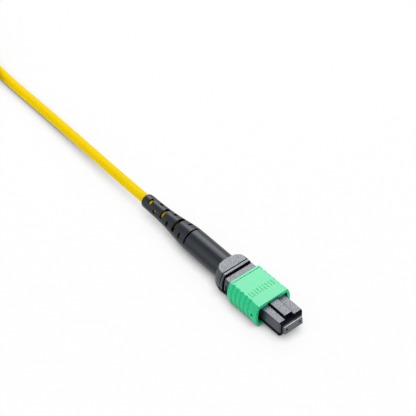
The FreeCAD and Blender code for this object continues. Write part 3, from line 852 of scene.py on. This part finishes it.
# %% Windows of the boot
class WindowTree(Tree):
    """Cuts windows through a boot. Each kind is a row along the boot, with one pair or two at each place."""

    def prisms(self, along, across, corner, floor, reach):
        """Two opposite prisms with rounded corners, each from inside the rubber outwards."""
        outline = self.node("GeometryNodeCurvePrimitiveQuadrilateral", {"mode": "RECTANGLE"},
                            {"Width": along, "Height": across})
        outline = self.node("GeometryNodeFilletCurve", {"mode": "POLY"},
                            {"Curve": outline, "Count": 3, "Radius": corner})
        pair = self.node("GeometryNodeJoinGeometry")
        for way in (1.0, -1.0):
            line = self.node("GeometryNodeCurvePrimitiveLine", {}, {
                "Start": self.vector(z=self.maths("MULTIPLY", floor, way)),
                "End": self.vector(z=self.maths("MULTIPLY", reach, way))})
            prism = self.node("GeometryNodeCurveToMesh", {}, {"Curve": line, "Profile Curve": outline,
                                                               "Fill Caps": True})
            self.group.links.new(prism, pair.node.inputs[0])
        return pair

    def row(self, count, first, pitch, pair, growth, turn, thinning=0.0):
        """The pair at each place of a row, a little wider and shorter each time."""
        index = self.node("GeometryNodeInputIndex")
        wider = self.maths("ADD", self.maths("MULTIPLY", index, growth), 1.0)
        shorter = self.maths("SUBTRACT", 1.0, self.maths("MULTIPLY", index, thinning))
        places = self.node("GeometryNodeMeshLine", {}, {
            "Count": count, "Start Location": self.vector(first), "Offset": self.vector(pitch)})
        return self.node("GeometryNodeInstanceOnPoints", {}, {
            "Points": places, "Instance": pair, "Scale": self.vector(shorter, wider, 1.0),
            "Rotation": self.vector(turn)})

    def cut(self, rows):
        """The start mesh with every window of the rows cut out."""
        cutters = self.node("GeometryNodeJoinGeometry")
        for row in rows:
            self.group.links.new(row, cutters.node.inputs[0])
        real = self.node("GeometryNodeRealizeInstances", {}, {"Geometry": cutters})
        return self.node("GeometryNodeMeshBoolean", {"operation": "DIFFERENCE", "solver": "EXACT"},
                         {"Mesh 1": self.given.outputs["Geometry"], "Mesh 2": real})


# %% The rows of windows
windows = WindowTree(
    "boot_windows", First=(boot_rear_x + 3.4) * mm, Pitch=3.1 * mm, Turn=math.radians(20),
    Along=1.2 * mm, Corner=0.25 * mm, Floor=0.95 * mm, Reach=6.0 * mm,
    Wide=2.2 * mm, Wide_Growth=0.66, Small=1.1 * mm, Small_Growth=0.38, Small_Thinning=0.22,
    Groove_Along=0.6 * mm, Groove_Across=7.0 * mm, Groove_Corner=0.05 * mm, Groove_Floor=1.80 * mm,
    Groove_Place=5.9)
first, pitch, turn, along, corner, floor_of_window, reach = [
    windows.value(key) for key in ("First", "Pitch", "Turn", "Along", "Corner", "Floor", "Reach")]
double_pitch = windows.maths("MULTIPLY", pitch, 2.0)
wide = windows.prisms(along, windows.value("Wide"), corner, floor_of_window, reach)
small = windows.prisms(along, windows.value("Small"), corner, floor_of_window, reach)
groove = windows.prisms(windows.value("Groove_Along"), windows.value("Groove_Across"),
                        windows.value("Groove_Corner"), windows.value("Groove_Floor"), reach)
groove_place = windows.maths("ADD", first, windows.maths("MULTIPLY", pitch, windows.value("Groove_Place")))
rows = [windows.row(3, first, double_pitch, wide, windows.value("Wide_Growth"), turn),
        windows.row(1, groove_place, double_pitch, groove, 0.0, turn)]
for side in (-1, 1):
    rows.append(windows.row(3, windows.maths("ADD", first, pitch), double_pitch, small,
                            windows.value("Small_Growth"), windows.maths("ADD", turn, side * math.pi / 4),
                            windows.value("Small_Thinning")))
boot = windows.run("boot", windows.cut(rows), finishes["soft_rubber"], start=boot_start)
sharp_turn = math.radians(35)
boot.data.set_sharp_from_angle(angle=sharp_turn)
dress(boot, "soft_rubber", "plug", ["strain_relief_boot"])

# %% [markdown]
# ## The springs
# A large spring behind the ferrule and two thin ones beside it are round wire wound into a helix. A Screw
# modifier would wind one too, but a spiral with a small circle swept along it has its turns, its
# wire and its length as plain inputs.

# %% Spring tree
def spring(name, node, wire, turns):
    """A round wire spring that fills the box of its CAD node."""
    low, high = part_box(node)
    tree = Tree(name, Turns=float(turns), Radius=(high.y - low.y) / 2 - wire / 2 * mm, Wire=wire / 2 * mm,
                Length=high.x - low.x - wire * mm, Start=low.x + wire / 2 * mm, Aside=(high.y + low.y) / 2)
    spiral = tree.node("GeometryNodeCurveSpiral", {}, {
        "Resolution": 32, "Rotations": tree.value("Turns"), "Start Radius": tree.value("Radius"),
        "End Radius": tree.value("Radius"), "Height": tree.value("Length")})
    circle = tree.node("GeometryNodeCurvePrimitiveCircle", {"mode": "RADIUS"},
                       {"Resolution": 12, "Radius": tree.value("Wire")})
    swept = tree.node("GeometryNodeCurveToMesh", {}, {"Curve": spiral, "Profile Curve": circle, "Fill Caps": True})
    laid = tree.node("GeometryNodeTransform", {}, {
        "Geometry": swept, "Rotation": (0, math.pi / 2, 0),
        "Translation": tree.vector(tree.value("Start"), tree.value("Aside"))})
    piece = tree.run(name, laid, finishes["spring_steel"])
    for face in piece.data.polygons:
        face.use_smooth = True
    return piece


# %% The three springs
# Wire in millimetres
coupling_wire, coupling_turns = 0.2, 3
ferrule_wire, ferrule_turns = 0.42, 3.5
for side in ("left", "right"):
    node = "coupling_spring_" + side
    coupling_spring = dress(spring("spring_" + side, node, coupling_wire, coupling_turns), "spring_steel",
                            "plug", [node])
    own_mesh(coupling_spring)
main_spring = dress(spring("spring_main", "ferrule_spring", ferrule_wire, ferrule_turns), "spring_steel",
                    "plug", ["ferrule_spring"])
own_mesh(main_spring)

# %% [markdown]
# ## Finger bars on the sleeve
# The sleeve is drawn back with two fingers, so its top carries a row of low bars under the fingertip.
# An Array modifier could repeat one bar, but a tree keeps the row's middle in place when its count changes.
# One bar is a block with rounded ends, sunk halfway into the sleeve so that no gap shows round it.

# %% Bars
bar_height = 0.24
bars_behind_front = 4.7


def finger_bars():
    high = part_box("coupling_sleeve")[1]
    tree = Tree("finger_bars", Count=9, Pitch=0.98 * mm, Length=1.9 * mm, Width=0.34 * mm,
                Height=bar_height * mm, Corner=0.12 * mm, Place=high.x - bars_behind_front * mm,
                Top=high.z - bar_height / 2 * mm)
    outline = tree.node("GeometryNodeCurvePrimitiveQuadrilateral", {"mode": "RECTANGLE"},
                        {"Width": tree.value("Length"), "Height": tree.value("Width")})
    outline = tree.node("GeometryNodeFilletCurve", {"mode": "POLY"},
                        {"Curve": outline, "Count": 4, "Radius": tree.value("Corner")})
    line = tree.node("GeometryNodeCurvePrimitiveLine", {}, {"End": tree.vector(z=tree.value("Height"))})
    bar = tree.node("GeometryNodeCurveToMesh", {}, {"Curve": line, "Profile Curve": outline, "Fill Caps": True})
    half = tree.maths("MULTIPLY", tree.maths("SUBTRACT", tree.value("Count"), 1.0), -0.5)
    places = tree.node("GeometryNodeMeshLine", {}, {
        "Count": tree.value("Count"), "Offset": tree.vector(y=tree.value("Pitch")),
        "Start Location": tree.vector(tree.value("Place"), tree.maths("MULTIPLY", half, tree.value("Pitch")),
                                      tree.value("Top"))})
    placed = tree.node("GeometryNodeInstanceOnPoints", {}, {"Points": places, "Instance": bar})
    return tree.run("finger_bars", placed, finishes["green_plastic"])


dress(finger_bars(), "green_plastic", "sleeve")

# %% [markdown]
# ## Cable and straps take their places
# The cable leaves the boot's rear end and belongs to the plug, so it moves with it. It stands for two CAD
# nodes, the run that lies free and the coil. It could stand for them one by one, but one curve has no joint.

# %% Cable and straps
dress(cable, "yellow_jacket", "plug", ["cable", "cable_coil"])
for node, piece in straps.items():
    dress(piece, "tie_fabric", "plug", [node])
print("cable leaves the boot at x", round(boot_rear_x, 2), "mm")
